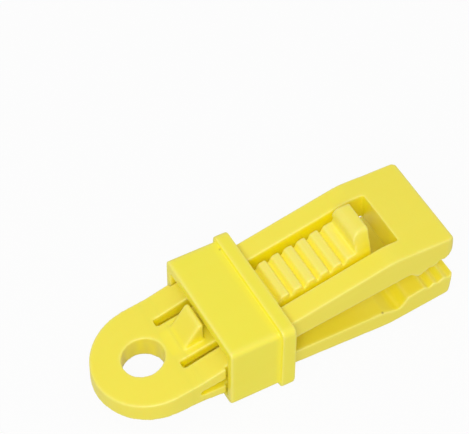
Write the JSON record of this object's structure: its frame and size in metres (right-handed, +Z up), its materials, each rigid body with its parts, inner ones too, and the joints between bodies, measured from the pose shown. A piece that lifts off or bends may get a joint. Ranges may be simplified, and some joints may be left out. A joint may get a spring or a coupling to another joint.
{
  "type": "tarp clip",
  "caption": "Moulded tarp clip: an eyelet tail, two toothed jaws on flexing arms, a ratchet tongue with a thumb nub, and a collar that slides forward to close the jaws.",
  "frame": {"origin": "middle of the clip's length and width, on the underside of the collar's lip", "axes": "+X from the eyelet tail to the jaws, +Y across the clip, +Z up, out of the thumb nub's side"},
  "size_m": [0.0832, 0.032, 0.0273],
  "materials": {
    "clip_body": "smooth satin moulding",
    "collar": "smooth satin moulding"
  },
  "bodies": {
    "tail": {"tail_eyelet": "clip_body"},
    "upper_arm": {"upper_arm": "clip_body"},
    "lower_arm": {"lower_arm": "clip_body"},
    "tongue": {"ratchet_tongue": "clip_body"},
    "collar": {"locking_collar": "collar"}
  },
  "joints": [
    {"name": "collar_slide", "type": "slide", "parent": "tail", "child": "collar", "axis": [1, 0, 0], "range_m": [0, 0.012]},
    {"name": "upper_arm_flex", "type": "hinge", "parent": "tail", "child": "upper_arm", "pos_m": [-0.0227, 0, 0.00935], "axis": [0, 1, 0], "range_deg": [0, 4.61]},
    {"name": "lower_arm_flex", "type": "hinge", "parent": "tail", "child": "lower_arm", "pos_m": [-0.0227, 0, 0.0055], "axis": [0, -1, 0], "range_deg": [0, 1.11]},
    {"name": "tongue_press", "type": "hinge", "parent": "upper_arm", "child": "tongue", "pos_m": [-0.0227, 0, 0.00935], "axis": [0, 1, 0], "range_deg": [0, 2], "stiffness_Nm_per_rad": 0.1, "springref_deg": -1.72}
  ],
  "couplings": [
    {"joint": "upper_arm_flex", "follows": "collar_slide", "rad_per_m": 6.7},
    {"joint": "lower_arm_flex", "follows": "collar_slide", "rad_per_m": 1.6}
  ]
}
